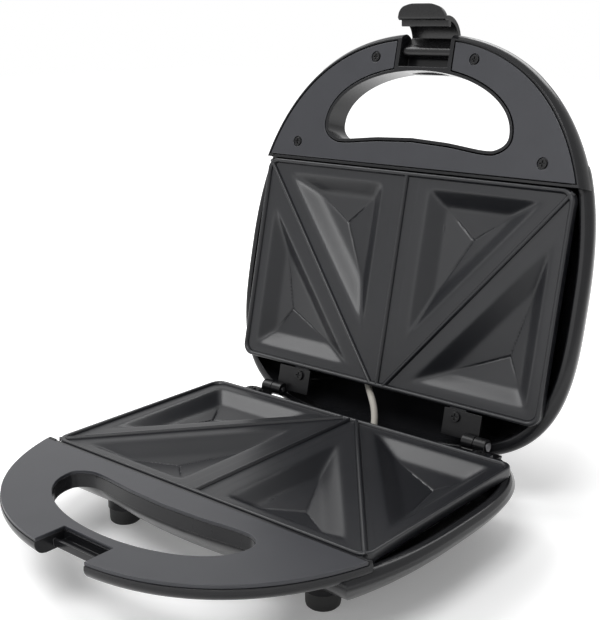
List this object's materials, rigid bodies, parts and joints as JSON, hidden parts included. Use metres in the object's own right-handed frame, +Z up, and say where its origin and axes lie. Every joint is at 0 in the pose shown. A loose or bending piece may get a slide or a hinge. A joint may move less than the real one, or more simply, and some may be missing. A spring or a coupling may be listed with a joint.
{
  "type": "sandwich toaster",
  "caption": "Countertop sandwich toaster with a hinged lid, shown open: two half-moon handles, a swinging latch and facing plates with triangular pockets.",
  "frame": {"origin": "on the floor, under the middle of the object as it stands open; the plates' middle is 3 mm in front of it", "axes": "+X to the right along the hinge axis, +Y from the handle to the hinge, +Z up from the floor"},
  "size_m": [0.244, 0.2987, 0.2822],
  "materials": {
    "casing": "gloss black",
    "handle_cover": "satin dark grey",
    "plate": "satin non-stick coating on cast metal",
    "element": "oxidised tube",
    "sheet": "bright sheet",
    "ceramic": "dull pale grey",
    "block": "dull off-white",
    "soft_black": "dull black",
    "lens_red": "clear red",
    "lens_green": "clear green",
    "lamp": "clear",
    "latch": "satin black",
    "sleeve": "woven glass fibre",
    "steel": "plated steel",
    "black_steel": "blackened steel"
  },
  "bodies": {
    "base": {"base_shell": "casing", "base_handle_cover": "handle_cover", "base_handle_screws": "black_steel", "base_plate": "plate", "base_heater": "element", "base_reflector": "sheet", "base_plate_screws": "steel", "base_thermostat": "ceramic", "thermal_fuse": "sheet", "terminal_block": "block", "cord_bush": "soft_black", "foot_front_left": "soft_black", "foot_front_right": "soft_black", "foot_back_left": "soft_black", "foot_back_right": "soft_black", "foot_screws": "steel", "base_hinge_left": "black_steel", "base_hinge_right": "black_steel", "base_hinge_screws": "black_steel", "hinge_pin_left": "steel", "hinge_pin_right": "steel", "lead_sleeve": "sleeve"},
    "lid": {"lid_shell": "casing", "lid_handle_cover": "handle_cover", "lid_handle_screws": "black_steel", "lid_plate": "plate", "lid_heater": "element", "lid_reflector": "sheet", "lid_plate_screws": "steel", "lid_hinge_left": "black_steel", "lid_hinge_right": "black_steel", "lid_hinge_screws": "black_steel", "power_lens": "lens_red", "ready_lens": "lens_green", "indicator_lamps": "lamp", "latch_pin": "steel"},
    "latch": {"latch": "latch"}
  },
  "joints": [
    {"name": "lid_hinge", "type": "hinge", "parent": "base", "child": "lid", "pos_m": [0, 0.0788, 0.0422], "axis": [1, 0, 0], "range_deg": [0, 103], "deforming": ["lead_sleeve"]},
    {"name": "latch_pivot", "type": "hinge", "parent": "lid", "child": "latch", "pos_m": [0, 0.13677, 0.25419], "axis": [1, 0, 0], "range_deg": [0, 75]}
  ]
}
